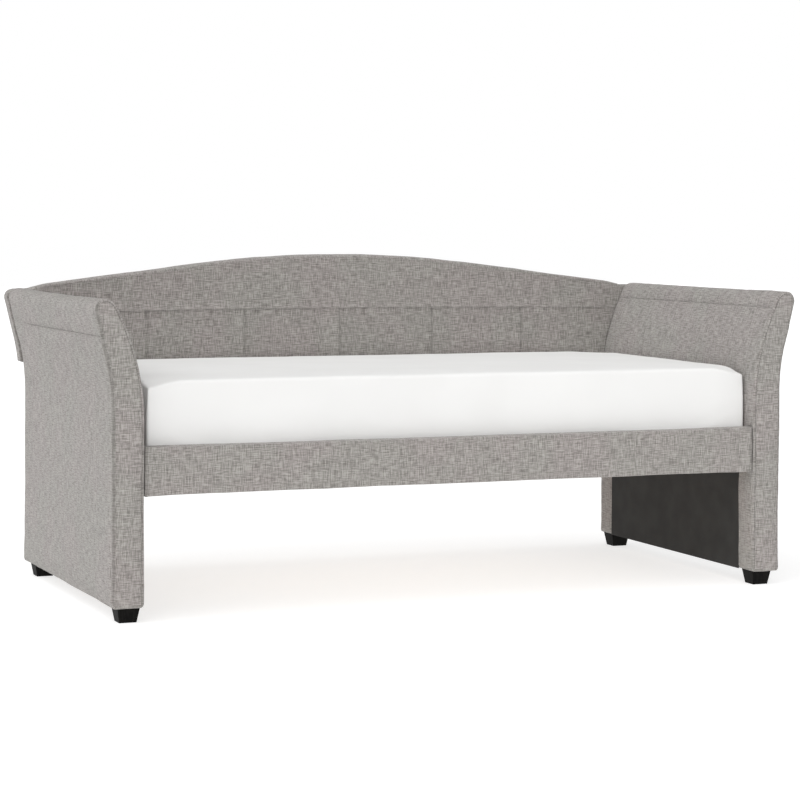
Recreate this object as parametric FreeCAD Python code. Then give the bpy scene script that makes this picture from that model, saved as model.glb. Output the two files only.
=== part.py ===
"""Upholstered daybed with flared arms, an arched back panel, a padded front rail and a loose mattress.

Millimetres. X runs along the bed, Y from front to back, Z up. The origin is on the floor, in the
middle of the bed's bounding box. Each piece is one STEP file, and what is on the left is the mirror
image of what is on the right.
"""
import FreeCAD, Part
import math
import os

from FreeCAD import Vector

# overall
INNER_WIDTH = 1925.0            # between the arms' inner faces, for a 1905 mm mattress
ARM_THICKNESS = 94.0
ARM_DEPTH = 1021.0
BACK_THICKNESS = 55.0
FOOT_HEIGHT = 42.0
ARM_TOP = 892.0
BACK_TOP = 998.0

# the arm's profile, seen from the front
ARM_CORNER = 10.0               # lower corners
SWEEP_RADIUS = 650.0            # of the two curves that carry the arm outwards
OUTER_SWEEP_START = 585.0
OUTER_LEAN = 13.5               # degrees from upright where the outer curve ends
OUTER_CORNER = 20.0             # upper outer corner
INNER_SWEEP_START = 560.0
INNER_LEAN = 25.0
SHOULDER_RADIUS = 38.0          # soft inner shoulder
ARM_EDGE = 9.0                  # rounding round the front and rear faces

# layers, from the outside in
COVER = 2.0                     # fabric
PADDING = 12.0
FRAME_INSET = COVER + PADDING

# arm frame
BOARD = 18.0                    # plywood at the arm's front and rear
OUTER_BOARD = 3.0
RAIL_THICKNESS = 30.0
BOTTOM_RAIL_HEIGHT = 50.0
MIDDLE_RAIL = (350.0, 440.0)    # lowest and highest z
TOP_RAIL = (800.0, 850.0)
DUST_FRONT = 84.0               # fabric strip in front of the dust panel
DUST_REAR = 86.0
DUST_TOP = 420.0

# back panel
BACK_BOTTOM = 348.0
BACK_SIDE = 1010.0              # half width of the part below the ears
EAR_BOTTOM = 655.0
EAR_CORNER = 12.0
CREST_RADIUS = 3924.0           # the arch over the middle
CREST_SLOPE = 7.05              # degrees from level where the arch ends and the straight shoulder begins
CREST_KNEE = 980.0              # half width where the shoulder steepens
CREST_END = 1040.0              # half width where it meets the level ear
BACK_EDGE = 9.0
BACK_FRAME = 30.0               # thickness of its boards
BACK_RAIL_HEIGHT = 90.0
STILE_WIDTH = 60.0
CREST_BOARD_BOTTOM = 800.0
OUTSIDE_PANEL_INSET = 22.0

# front rail, ledgers and slats
RAIL_BOTTOM = 348.0
RAIL_TOP = 485.0
RAIL_DEPTH = 45.0
RAIL_SETBACK = 4.0
RAIL_GAP = 3.0
RAIL_EDGE = 8.0
RAIL_PADDING = 8.0
SLAT_TOP = 437.0
SLAT_THICKNESS = 18.0
SLAT_WIDTH = 65.0
SLAT_COUNT = 13
SLAT_SPAN = 1760.0              # from the first slat's centre to the last one's
SLAT_CLEARANCE = 3.0
LEDGER_WIDTH = 25.0
LEDGER_HEIGHT = 35.0
LEDGER_LENGTH = 1800.0
STRAP_WIDTH = 22.0
STRAP_THICKNESS = 1.2
STRAP_OFFSET = 260.0

# feet and hardware
FOOT_BOTTOM_WIDTH = 50.0
FOOT_TOP_WIDTH = 65.0
FOOT_IN = 40.6                  # from the arm's inner face to the foot's centre
FOOT_END = 46.3                 # from the arm's front or rear face to the foot's centre
BOLT = 4.0                      # radius
BOLT_HEAD = 7.0
HEAD_HEIGHT = 4.5
NUT = 5.5
NUT_LENGTH = 16.0
FOOT_BOLT = (18.0, 78.0)        # lowest and highest z
BRACKET = 4.0
BRACKET_LEG = 40.0
BRACKET_HEIGHT = (352.0, 430.0)
BRACKET_BOLTS = (368.0, 408.0)  # z of the bolts
BACK_BOLTS = (470.0, 610.0)

# mattress
MATTRESS = (1893.0, 965.0, 229.0)   # nominally 1905 mm long
MATTRESS_OFFSET = 6.0           # loose between the arms, it lies a little to the right
MATTRESS_GAP = 1.0              # above the slats
MATTRESS_CORNER = 26.0
MATTRESS_EDGE = 24.0
COMFORT_LAYER = 50.0

inner_half = INNER_WIDTH / 2
arm_front = -(ARM_DEPTH + BACK_THICKNESS) / 2
arm_rear = arm_front + ARM_DEPTH
back_rear = arm_rear + BACK_THICKNESS
rail_front = arm_front + RAIL_SETBACK
rail_rear = rail_front + RAIL_DEPTH
rail_half = inner_half - RAIL_GAP
frame_front = arm_front + FRAME_INSET + BOARD
frame_rear = arm_rear - FRAME_INSET - BOARD
dust_front = arm_front + DUST_FRONT
dust_rear = arm_rear - DUST_REAR
slat_bottom = SLAT_TOP - SLAT_THICKNESS


def flat(x, z, y=0.0):
    return Vector(x, y, z)


def box(x0, x1, y0, y1, z0, z1):
    return Part.makeBox(x1 - x0, y1 - y0, z1 - z0, Vector(x0, y0, z0))


def rod(radius, start, direction, length):
    return Part.makeCylinder(radius, length, start, direction)


def ring(outer, inner, start, direction, length):
    return rod(outer, start, direction, length).cut(rod(inner, start, direction, length))


def line(a, b):
    return Part.LineSegment(a, b).toShape()


def arc(centre, radius, start, end):
    """Arc in the XZ plane. Angles in degrees, from +X towards +Z."""
    points = []
    for angle in (start, (start + end) / 2, end):
        turn = math.radians(angle)
        points.append(centre + flat(radius * math.cos(turn), radius * math.sin(turn)))
    return Part.Arc(*points).toShape()


def first_point(edge):
    return edge.valueAt(edge.FirstParameter)


def last_point(edge):
    return edge.valueAt(edge.LastParameter)


def outer_corner_centre():
    """Where the flared outer face rolls over into the top."""
    lean = math.radians(OUTER_LEAN)
    end_x = inner_half + ARM_THICKNESS + SWEEP_RADIUS * (1 - math.cos(lean))
    end_z = OUTER_SWEEP_START + SWEEP_RADIUS * math.sin(lean)
    centre_z = ARM_TOP - OUTER_CORNER
    rise = centre_z - OUTER_CORNER * math.sin(lean) - end_z
    return flat(end_x - OUTER_CORNER * math.cos(lean) + math.tan(lean) * rise, centre_z)


def shoulder_centre():
    """Where the flared inner face rolls over into the top."""
    lean = math.radians(INNER_LEAN)
    end_x = inner_half + SWEEP_RADIUS * (1 - math.cos(lean))
    end_z = INNER_SWEEP_START + SWEEP_RADIUS * math.sin(lean)
    centre_z = ARM_TOP - SHOULDER_RADIUS
    rise = centre_z + SHOULDER_RADIUS * math.sin(lean) - end_z
    return flat(end_x + SHOULDER_RADIUS * math.cos(lean) + math.tan(lean) * rise, centre_z)


def outer_sweep(lowest):
    """The outer face's curve and its straight, leaning end, from the height `lowest` up to the corner."""
    start = math.degrees(math.asin((lowest - OUTER_SWEEP_START) / SWEEP_RADIUS))
    centre = flat(inner_half + ARM_THICKNESS + SWEEP_RADIUS, OUTER_SWEEP_START)
    curve = arc(centre, SWEEP_RADIUS, 180 - start, 180 - OUTER_LEAN)
    corner = arc(outer_corner_centre(), OUTER_CORNER, -OUTER_LEAN, 90)
    return [curve, line(last_point(curve), first_point(corner)), corner]


def inner_sweep():
    """The inner face's shoulder and curve, from the top down."""
    shoulder = arc(shoulder_centre(), SHOULDER_RADIUS, 90, 180 - INNER_LEAN)
    centre = flat(inner_half + SWEEP_RADIUS, INNER_SWEEP_START)
    curve = arc(centre, SWEEP_RADIUS, 180 - INNER_LEAN, 180)
    return [shoulder, line(last_point(shoulder), first_point(curve)), curve]


def arm_outline():
    x0 = inner_half
    x1 = inner_half + ARM_THICKNESS
    r = ARM_CORNER
    low = FOOT_HEIGHT
    right = arc(flat(x1 - r, low + r), r, -90, 0)
    left = arc(flat(x0 + r, low + r), r, 180, 270)
    outer = outer_sweep(OUTER_SWEEP_START)
    inner = inner_sweep()
    edges = [line(last_point(left), first_point(right)), right]
    edges += [line(last_point(right), first_point(outer[0]))] + outer
    edges += [line(last_point(outer[-1]), first_point(inner[0]))] + inner
    edges += [line(last_point(inner[-1]), first_point(left)), left]
    return Part.Wire(Part.__sortEdges__(edges))


def back_outline():
    """Half of the panel, its crest, ear and side, mirrored into the whole."""
    sweep = outer_sweep(EAR_BOTTOM + EAR_CORNER)
    ear = first_point(sweep[0])
    ear_low = arc(ear + flat(-EAR_CORNER, 0), EAR_CORNER, -90, 0)
    top = last_point(sweep[-1])
    side = flat(BACK_SIDE, EAR_BOTTOM)
    half = [line(flat(0, BACK_BOTTOM), flat(BACK_SIDE, BACK_BOTTOM)), line(flat(BACK_SIDE, BACK_BOTTOM), side)]
    half += [line(side, first_point(ear_low)), ear_low] + sweep
    slope = math.radians(CREST_SLOPE)
    arch_x = CREST_RADIUS * math.sin(slope)
    arch_z = BACK_TOP - CREST_RADIUS * (1 - math.cos(slope))
    knee = flat(CREST_KNEE, arch_z - (CREST_KNEE - arch_x) * math.tan(slope))
    half += [line(top, flat(CREST_END, ARM_TOP)), line(flat(CREST_END, ARM_TOP), knee)]
    half += [line(knee, flat(arch_x, arch_z))]
    arch = arc(flat(0, BACK_TOP - CREST_RADIUS), CREST_RADIUS, 90 - CREST_SLOPE, 90 + CREST_SLOPE)
    mirrored = [edge.mirror(Vector(), Vector(1, 0, 0)) for edge in half]
    return Part.Wire(Part.__sortEdges__(half + [arch] + mirrored))


def slab(outline, inset, y0, y1):
    face = Part.Face(outline)
    if inset:
        face = face.makeOffset2D(-inset)
    face.translate(Vector(0, y0, 0))
    return face.extrude(Vector(0, y1 - y0, 0))


def soften(solid, radius, y0, y1, above=0.0):
    """Rounds the edges that lie in the planes y0 and y1 and reach higher than `above`."""
    edges = []
    for edge in solid.Edges:
        size = edge.BoundBox
        on_a_face = min(abs(size.YMin - y0), abs(size.YMin - y1)) < 0.01
        if size.YLength < 0.01 and on_a_face and size.ZMax > above:
            edges.append(edge)
    return solid.makeFillet(radius, edges)


def arm_envelope(inset):
    y0 = arm_front + inset
    y1 = arm_rear - inset
    return soften(slab(arm_outline(), inset, y0, y1), ARM_EDGE - inset, y0, y1)


def arm_frame_space():
    """The room inside the padding. The frame stands on the cover, with no padding under it."""
    y0 = arm_front + FRAME_INSET
    y1 = arm_rear - FRAME_INSET
    space = slab(arm_outline(), FRAME_INSET, y0, y1)
    x0 = inner_half + FRAME_INSET
    x1 = inner_half + ARM_THICKNESS - FRAME_INSET
    foot = box(x0, x1, y0, y1, FOOT_HEIGHT + COVER, FOOT_HEIGHT + 3 * FRAME_INSET)
    return space.fuse(foot).removeSplitter()


def foot_places():
    x = inner_half + FOOT_IN
    return {"front": Vector(x, arm_front + FOOT_END, 0), "rear": Vector(x, arm_rear - FOOT_END, 0)}


def foot(place):
    """Square block that tapers towards the floor."""
    wires = []
    for width, z in ((FOOT_BOTTOM_WIDTH, 0.0), (FOOT_TOP_WIDTH, FOOT_HEIGHT)):
        h = width / 2
        corners = [Vector(-h, -h, z), Vector(h, -h, z), Vector(h, h, z), Vector(-h, h, z), Vector(-h, -h, z)]
        wires.append(Part.makePolygon(corners))
    block = Part.makeLoft(wires, True, True)
    edges = [edge for edge in block.Edges if edge.BoundBox.ZLength > FOOT_HEIGHT / 2]
    block = block.makeFillet(2.0, edges)
    block.translate(place)
    return block


def foot_fixings(place):
    low, high = FOOT_BOLT
    up = Vector(0, 0, 1)
    start = Vector(place.x, place.y, low)
    top = Vector(place.x, place.y, FOOT_HEIGHT + COVER)
    bolt = rod(BOLT, start, up, high - low)
    nut = ring(NUT, BOLT, top, up, NUT_LENGTH)
    return bolt, nut


def bracket():
    """Steel angle in the corner between the front rail and the arm."""
    x1 = inner_half
    x0 = x1 - RAIL_GAP - BRACKET_LEG
    low, high = BRACKET_HEIGHT
    along_rail = box(x0, x1, rail_rear, rail_rear + BRACKET, low, high)
    along_arm = box(x1 - BRACKET, x1, rail_rear, rail_rear + BRACKET_LEG, low, high)
    return along_rail.fuse(along_arm).removeSplitter()


def screw(start, direction, length):
    """Round-headed bolt. `start` is under its head."""
    shank = rod(BOLT, start, direction, length)
    head = rod(BOLT_HEAD, start, direction * -1, HEAD_HEIGHT)
    return shank.fuse(head).removeSplitter()


def bracket_screws():
    into_arm = []
    into_rail = []
    x = inner_half - BRACKET
    y = rail_rear + BRACKET_LEG / 2 + BRACKET
    arm_length = BRACKET + FRAME_INSET + RAIL_THICKNESS
    rail_length = BRACKET + COVER + RAIL_PADDING + 12.0
    rail_x = inner_half - RAIL_GAP - BRACKET_LEG / 2 - BRACKET
    for z in BRACKET_BOLTS:
        into_arm.append(screw(Vector(x, y, z), Vector(1, 0, 0), arm_length))
        into_rail.append(screw(Vector(rail_x, rail_rear + BRACKET, z), Vector(0, -1, 0), rail_length))
    return into_arm, into_rail


def bracket_nuts():
    """Nuts in the arm's middle rail, on the ends of the bolts."""
    y = rail_rear + BRACKET_LEG / 2 + BRACKET
    x = inner_half + FRAME_INSET + RAIL_THICKNESS - NUT_LENGTH
    return [ring(NUT, BOLT, Vector(x, y, z), Vector(1, 0, 0), NUT_LENGTH) for z in BRACKET_BOLTS]


def back_screws():
    """Bolts through the back panel's stiles into the arm's rear board."""
    x = inner_half + FRAME_INSET + 8.0
    start = back_rear - COVER - (BACK_THICKNESS - 2 * COVER - BACK_FRAME - PADDING) - HEAD_HEIGHT
    length = start - (arm_rear - FRAME_INSET - BOARD)
    return [screw(Vector(x, start, z), Vector(0, -1, 0), length) for z in BACK_BOLTS]


def drilled(solid, tools):
    for tool in tools:
        solid = solid.cut(tool)
    return solid


def mirror(shape):
    return shape.mirror(Vector(), Vector(1, 0, 0))


def both_sides(shapes):
    return list(shapes) + [mirror(shape) for shape in shapes]


def arm_parts():
    """The right arm's pieces, by name."""
    outside = arm_envelope(0)
    lining = arm_envelope(COVER)
    space = arm_frame_space()
    x0 = inner_half
    far = inner_half + 3 * ARM_THICKNESS
    window = box(x0 - 1, x0 + COVER, dust_front, dust_rear, FOOT_HEIGHT + COVER, DUST_TOP)
    opening = box(x0, x0 + FRAME_INSET, dust_front, dust_rear, FOOT_HEIGHT + COVER, DUST_TOP)
    frame_high = (0, 2 * ARM_TOP)
    front_board = space.common(box(x0, far, arm_front, frame_front, *frame_high))
    rear_board = space.common(box(x0, far, frame_rear, arm_rear, *frame_high))
    between = space.common(box(x0, far, frame_front, frame_rear, *frame_high))
    thin = slab(arm_outline(), FRAME_INSET + OUTER_BOARD, frame_front, frame_rear)
    leaf = between.cut(thin).common(box(x0 + ARM_THICKNESS / 2, far, frame_front, frame_rear, 110.0, 860.0))
    leaf = max(leaf.Solids, key=lambda solid: solid.Volume)
    inside = between.cut(leaf)
    low_rail = inside.common(box(x0, far, frame_front, frame_rear, 0, FOOT_HEIGHT + COVER + BOTTOM_RAIL_HEIGHT))
    mid_x = x0 + FRAME_INSET + RAIL_THICKNESS
    middle_rail = inside.common(box(x0, mid_x, frame_front, frame_rear, *MIDDLE_RAIL))
    top_rail = inside.common(box(x0, far, frame_front, frame_rear, *TOP_RAIL))
    dust = box(x0 + 0.5, x0 + COVER, dust_front, dust_rear, FOOT_HEIGHT + COVER, DUST_TOP)
    return {
        "arm_cover": outside.cut(lining).cut(window),
        "arm_padding": lining.cut(space).cut(opening).cut(
            box(x0, far, arm_front, arm_rear, 0, FOOT_HEIGHT + COVER)),
        "arm_front_board": front_board,
        "arm_rear_board": rear_board,
        "arm_outer_board": leaf,
        "arm_bottom_rail": low_rail,
        "arm_middle_rail": middle_rail,
        "arm_top_rail": top_rail,
        "arm_dust_cover": dust,
    }


def back_parts():
    outline = back_outline()
    y0 = arm_rear
    y1 = back_rear
    frame_y0 = y0 + FRAME_INSET
    frame_y1 = frame_y0 + BACK_FRAME
    ear = EAR_BOTTOM + 2 * EAR_CORNER
    outside = soften(slab(outline, 0, y0, y1), BACK_EDGE, y0, y1, ear)
    lining = slab(outline, COVER, y0 + COVER, y1 - COVER)
    lining = soften(lining, BACK_EDGE - COVER, y0 + COVER, y1 - COVER, ear)
    frame = slab(outline, FRAME_INSET, frame_y0, frame_y1)
    panel = slab(outline, OUTSIDE_PANEL_INSET, y1 - COVER, y1)
    wide = 2 * inner_half
    low = BACK_BOTTOM + FRAME_INSET + BACK_RAIL_HEIGHT
    bottom_rail = frame.common(box(-wide, wide, frame_y0, frame_y1, 0, low))
    crest = frame.common(box(-wide, wide, frame_y0, frame_y1, CREST_BOARD_BOTTOM, 2 * BACK_TOP))
    upright = (frame_y0, frame_y1, low, CREST_BOARD_BOTTOM)
    side_x = BACK_SIDE - FRAME_INSET - STILE_WIDTH
    side = frame.common(box(side_x, wide, *upright))
    middle = box(-STILE_WIDTH / 2, STILE_WIDTH / 2, *upright)
    return {
        "back_cover": outside.cut(lining).cut(panel),
        "back_outside_panel": panel,
        "back_padding": lining.cut(frame),
        "back_crest_board": crest,
        "back_bottom_rail": bottom_rail,
        "back_right_stile": side,
        "back_left_stile": mirror(side),
        "back_centre_stile": middle,
    }


def rounded_bar(inset):
    x = rail_half - inset
    y0 = rail_front + inset
    y1 = rail_rear - inset
    bar = box(-x, x, y0, y1, RAIL_BOTTOM + inset, RAIL_TOP - inset)
    if inset < RAIL_EDGE:
        long_edges = [edge for edge in bar.Edges if edge.BoundBox.XLength > x]
        bar = bar.makeFillet(RAIL_EDGE - inset, long_edges)
    return bar


def rail_parts():
    board_inset = COVER + RAIL_PADDING
    ledger_z = (slat_bottom - LEDGER_HEIGHT, slat_bottom)
    half = LEDGER_LENGTH / 2
    return {
        "front_rail_cover": rounded_bar(0).cut(rounded_bar(COVER)),
        "front_rail_padding": rounded_bar(COVER).cut(rounded_bar(board_inset)),
        "front_rail_board": rounded_bar(board_inset),
        "front_ledger": box(-half, half, rail_rear, rail_rear + LEDGER_WIDTH, *ledger_z),
        "rear_ledger": box(-half, half, arm_rear - LEDGER_WIDTH, arm_rear, *ledger_z),
    }


def slat_parts():
    parts = {}
    y0 = rail_rear + SLAT_CLEARANCE
    y1 = arm_rear - SLAT_CLEARANCE
    for number in range(SLAT_COUNT):
        x = -SLAT_SPAN / 2 + number * SLAT_SPAN / (SLAT_COUNT - 1)
        slat = box(x - SLAT_WIDTH / 2, x + SLAT_WIDTH / 2, y0, y1, slat_bottom, SLAT_TOP)
        edges = [edge for edge in slat.Edges if edge.BoundBox.YLength > SLAT_WIDTH]
        parts["slat_%02d" % (number + 1)] = slat.makeFillet(3.0, edges)
    for name, y in (("front_slat_strap", -STRAP_OFFSET), ("rear_slat_strap", STRAP_OFFSET)):
        x = SLAT_SPAN / 2 + SLAT_WIDTH / 2
        parts[name] = box(-x, x, y, y + STRAP_WIDTH, slat_bottom - STRAP_THICKNESS, slat_bottom)
    return parts


def mattress_block(inset):
    length, depth, height = (size - 2 * inset for size in MATTRESS)
    low = SLAT_TOP + MATTRESS_GAP + inset
    y0 = (rail_rear + arm_rear) / 2 - depth / 2
    x0 = MATTRESS_OFFSET - length / 2
    block = box(x0, x0 + length, y0, y0 + depth, low, low + height)
    upright = [edge for edge in block.Edges if edge.BoundBox.ZLength > height / 2]
    block = block.makeFillet(MATTRESS_CORNER - inset, upright)
    level = [edge for edge in block.Edges if edge.BoundBox.ZLength < 0.01]
    return block.makeFillet(MATTRESS_EDGE - inset, level)


def mattress_parts():
    filling = mattress_block(COVER)
    far = INNER_WIDTH
    split = SLAT_TOP + MATTRESS_GAP + MATTRESS[2] - COVER - COMFORT_LAYER
    return {
        "mattress_cover": mattress_block(0).cut(filling),
        "mattress_core": filling.common(box(-far, far, -far, far, 0, split)),
        "mattress_comfort_layer": filling.common(box(-far, far, -far, far, split, 2 * split)),
    }


def drill(parts, names, tools):
    for name in names:
        parts[name] = drilled(parts[name], tools)


def build():
    arm = arm_parts()
    parts = {"right_" + name: shape for name, shape in arm.items()}
    parts.update({"left_" + name: mirror(shape) for name, shape in arm.items()})
    parts.update(back_parts())
    parts.update(rail_parts())
    parts.update(slat_parts())
    parts.update(mattress_parts())

    foot_bolts = []
    foot_nuts = []
    for end, place in foot_places().items():
        block = foot(place)
        parts["right_%s_foot" % end] = block
        parts["left_%s_foot" % end] = mirror(block)
        bolt, nut = foot_fixings(place)
        foot_bolts.append(bolt)
        foot_nuts.append(nut)
    into_arm, into_rail = bracket_screws()
    nuts = both_sides(bracket_nuts())
    foot_bolts = both_sides(foot_bolts)
    foot_nuts = both_sides(foot_nuts)
    into_arm = both_sides(into_arm)
    into_rail = both_sides(into_rail)
    back_bolts = both_sides(back_screws())
    brackets = both_sides([bracket()])

    for side in ("right", "left"):
        arm_skin = [side + "_arm_cover", side + "_arm_padding"]
        drill(parts, [side + "_front_foot", side + "_rear_foot", side + "_arm_cover"], foot_bolts)
        drill(parts, [side + "_arm_bottom_rail"], foot_bolts + foot_nuts)
        drill(parts, arm_skin, into_arm + back_bolts)
        drill(parts, [side + "_arm_middle_rail"], into_arm + nuts)
        drill(parts, [side + "_arm_rear_board"], back_bolts)
        drill(parts, ["back_%s_stile" % side], back_bolts)
    drill(parts, ["back_cover", "back_padding"], back_bolts)
    drill(parts, ["front_rail_cover", "front_rail_padding", "front_rail_board"], into_rail)
    brackets = [drilled(shape, into_arm + into_rail) for shape in brackets]

    parts["foot_bolts"] = Part.makeCompound(foot_bolts)
    parts["foot_tee_nuts"] = Part.makeCompound(foot_nuts)
    parts["rail_brackets"] = Part.makeCompound(brackets)
    parts["rail_bolts"] = Part.makeCompound(into_arm + into_rail)
    parts["rail_bolt_nuts"] = Part.makeCompound(nuts)
    parts["back_bolts"] = Part.makeCompound(back_bolts)
    return parts


os.makedirs("parts", exist_ok=True)
for name, shape in sorted(build().items()):
    shape.exportStep("parts/%s.step" % name)
    print(name, len(shape.Solids), "valid" if shape.isValid() else "NOT VALID", round(shape.Volume / 1000.0, 1))
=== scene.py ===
"""Looks of the upholstered daybed: linen arms, back and rail, dust covers, mattress, feet and slats."""

import math
from collections import namedtuple

import bmesh
import bpy
import numpy as np
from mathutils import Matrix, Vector
from mathutils.kdtree import KDTree


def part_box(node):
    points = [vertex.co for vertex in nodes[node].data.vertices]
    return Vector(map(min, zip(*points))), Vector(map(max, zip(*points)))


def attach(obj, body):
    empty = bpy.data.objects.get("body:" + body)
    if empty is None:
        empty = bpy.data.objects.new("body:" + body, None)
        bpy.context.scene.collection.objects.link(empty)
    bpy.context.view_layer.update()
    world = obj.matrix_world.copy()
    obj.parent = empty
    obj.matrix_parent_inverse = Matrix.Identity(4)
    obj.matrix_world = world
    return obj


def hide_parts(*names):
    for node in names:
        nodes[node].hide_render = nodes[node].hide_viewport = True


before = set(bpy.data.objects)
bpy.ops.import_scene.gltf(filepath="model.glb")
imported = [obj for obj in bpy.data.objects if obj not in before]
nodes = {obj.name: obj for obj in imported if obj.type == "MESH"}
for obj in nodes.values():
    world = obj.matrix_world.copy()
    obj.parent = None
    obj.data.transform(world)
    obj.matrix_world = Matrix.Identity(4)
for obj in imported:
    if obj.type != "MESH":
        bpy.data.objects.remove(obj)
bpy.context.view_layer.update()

MM = 0.001

# arm profile, in the words that an upholsterer would use
SWEEP_RADIUS = 650 * MM         # of the curves that carry both faces outwards
OUTER_SWEEP_START = 585 * MM
OUTER_LEAN = 13.5               # degrees
OUTER_CORNER = 26 * MM
INNER_SWEEP_START = 560 * MM
INNER_LEAN = 25.0
SHOULDER_RADIUS = 38 * MM
LOW_CORNER = 10 * MM
ARM_THICKNESS = 94 * MM
SHOULDER_START = 760 * MM       # where the padding of the top begins to swell
ARM_CROWN = {-1: 2 * MM, 1: 8 * MM}     # of the left and right arm, padded by hand and not quite alike
ARM_SWELL = {-1: -2.5 * MM, 1: 1 * MM}  # in thickness

# back panel
EAR_BOTTOM = 655 * MM
EAR_CORNER = 12 * MM
BACK_SIDE = 1010 * MM
CREST_RADIUS = 3924 * MM
CREST_SLOPE = 7.05
CREST_KNEE = 980 * MM
CREST_END = 1040 * MM
OUTSIDE_PANEL_INSET = 22 * MM

# sewing
SEAM_INSET = 7 * MM             # of the end panels' seams from the arm's edge
OUTER_SEAM = 790 * MM           # heights above the floor
INNER_SEAM = 846 * MM
OUTER_SEAM_END = 330 * MM       # how far back the outer seam shows
BACK_SEAM = 822 * MM
BACK_SEAM_DROP = 8 * MM         # how much lower the back's level seam is at its ends
BACK_PITCH = 328 * MM           # between its upright seams
FAR = 50 * MM                   # from any seam
INNER_SKIN = 8 * MM             # how deep the cover of an arm's inner face is taken to be
RAIL_REACH = 78 * MM            # half the height of an arm's face that the rail holds flat
EDGE_HOLD = 2 * MM
MID_EDGE = 3                    # the ring in the middle of a face's rounded edge
SEAM_STEPS = np.array((-9.0, -4.5, -1.8, 0.0, 1.8, 4.5, 9.0)) * MM
PANEL_RINGS = np.array((9.0, 7.8, 7.0, 6.6)) * MM   # round an arm's end panel, the third one on its seam
SEAM_HOLD = 2.5 * MM            # a cover stays put this near to a seam
FOLD_DEPTH = 1.6 * MM
FOLD_WIDTH = 5 * MM
GATHER_WAVE = 22 * MM           # of the small puckers beside seams
GATHER_REACH = 9 * MM
THREAD = 1.5 * MM               # between the points that stand for a sewn line

# mattress
MATTRESS_CROWN = 8 * MM
MATTRESS_CORNER_REACH = 60 * MM
MATTRESS_CORNER_SINK = 18 * MM
MATTRESS_CORNER_DRAW = 3 * MM
MATTRESS_CORNER_HEIGHT = 110 * MM   # over which its top corners sink
MATTRESS_UPRIGHT_CORNER = 9 * MM
MATTRESS_EDGE = 12 * MM
MATTRESS_HELD = 30 * MM         # the lowest part of its cover, which keeps its shape
MATTRESS_STOP = 2 * MM          # the least gap to the arms

# dust covers
DUST_STAND_OFF = 0.3 * MM
DUST_THICKNESS = 1.2 * MM
DUST_SETBACK = 3 * MM           # of the arm's cover behind it
DUST_RIM = 4 * MM               # of that cover, which isn't set back
DUST_DROP = 2 * MM              # how much lower it reaches than its solid
DUST_HEM = 6 * MM
DUST_SLACK = 0.9 * MM
DUST_SLACK_START = 120 * MM     # from the cloth's edge

# each cover: how deep its seams are drawn in, how hard it is blown up and how far at most,
# and the height and length of its slow waves
Cover = namedtuple("Cover", "seam_depth pressure travel wear wave")
ARM_COVER = Cover(1.5 * MM, 2.5, 3.0 * MM, 0.8 * MM, 0.22)
BACK_COVER = Cover(2.0 * MM, 1.2, 4.0 * MM, 0.8 * MM, 0.26)
RAIL_COVER = Cover(0.8 * MM, 1.5, 2.5 * MM, 0.5 * MM, 0.2)
MATTRESS_COVER = Cover(1.0 * MM, 2.0, 3.0 * MM, 0.7 * MM, 0.3)

# where the camera stands, and how it looks
EYE = (-2.854, -6.964, 1.123)
EYE_TURN = -22.44               # degrees
EYE_TILT = -1.69
EYE_ROLL = -0.28
LENS = 109.4
SHIFT = (-0.003, -0.14)
SENSOR = 36

ROOM_LIGHT = 0.44
FLOOR_COLOUR = (0.5, 0.5, 0.5)
FLOOR_GLOW = 0.66
# each lamp's name, where it stands from the bed, its strength and its spread in degrees
LAMPS = (
    ("front_light", (-0.5, -2.0, 0.85), 0.87, 45),
    ("side_light", (-1.35, -0.5, 2.1), 1.5, 60),
    ("top_light", (0.1, -0.3, 2.0), 0.15, 60),
)


# ---------------------------------------------------------------- outlines

def arc(centre, radius, start, end, count=24):
    turn = np.radians(np.linspace(start, end, count))
    return np.stack([centre[0] + radius * np.cos(turn), centre[1] + radius * np.sin(turn)], 1)


def path(*stretches):
    """One polyline from points and arcs, without doubled points."""
    points = np.concatenate([np.atleast_2d(np.array(s, float)) for s in stretches])
    step = np.linalg.norm(np.diff(points, axis=0), axis=1)
    return points[np.concatenate([[True], step > 1e-6])]


def length_along(points):
    return np.concatenate([[0], np.cumsum(np.linalg.norm(np.diff(points, axis=0), axis=1))])


def at_lengths(points, where):
    along = length_along(points)
    return np.stack([np.interp(where, along, points[:, k]) for k in range(points.shape[1])], 1)


def stations(even, seams=()):
    """Even steps along a side, where close ones take the place of the three nearest to each seam.
    How many there are doesn't depend on where the seams are."""
    for seam in seams:
        even = np.delete(even, np.abs(even - seam).argsort()[:3])
    return np.sort(np.concatenate([even, *[seam + SEAM_STEPS for seam in seams]]))


def evenly(line, count, seams=()):
    """A line's points at even steps, with close ones at its seams."""
    return at_lengths(line, stations(np.linspace(0, length_along(line)[-1], count), seams))


def reaches(line, level):
    """How far along a line it reaches a level."""
    along = length_along(line)
    order = np.argsort(line[:, 1])
    return float(np.interp(level, line[order, 1], along[order]))


def nearest(values, level):
    return int(np.abs(values - level).argmin())


def outward(loop):
    """Unit normals of a closed loop that runs anticlockwise, pointing out."""
    ahead = np.roll(loop, -1, axis=0) - loop
    ahead /= np.maximum(np.linalg.norm(ahead, axis=1, keepdims=True), 1e-9)
    tangent = ahead + np.roll(ahead, 1, axis=0)
    tangent /= np.maximum(np.linalg.norm(tangent, axis=1, keepdims=True), 1e-9)
    return np.stack([tangent[:, 1], -tangent[:, 0]], 1)


def lean_corner(foot, lean, radius, top, side):
    """Centre of a corner that touches the top and a face leaning outwards from its point `foot`.
    side is 1 for the outer face and -1 for the inner one."""
    turn = math.radians(lean)
    centre_z = top - radius
    rise = centre_z - side * radius * math.sin(turn) - foot[1]
    return foot[0] - side * radius * math.cos(turn) + math.tan(turn) * rise, centre_z


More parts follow.
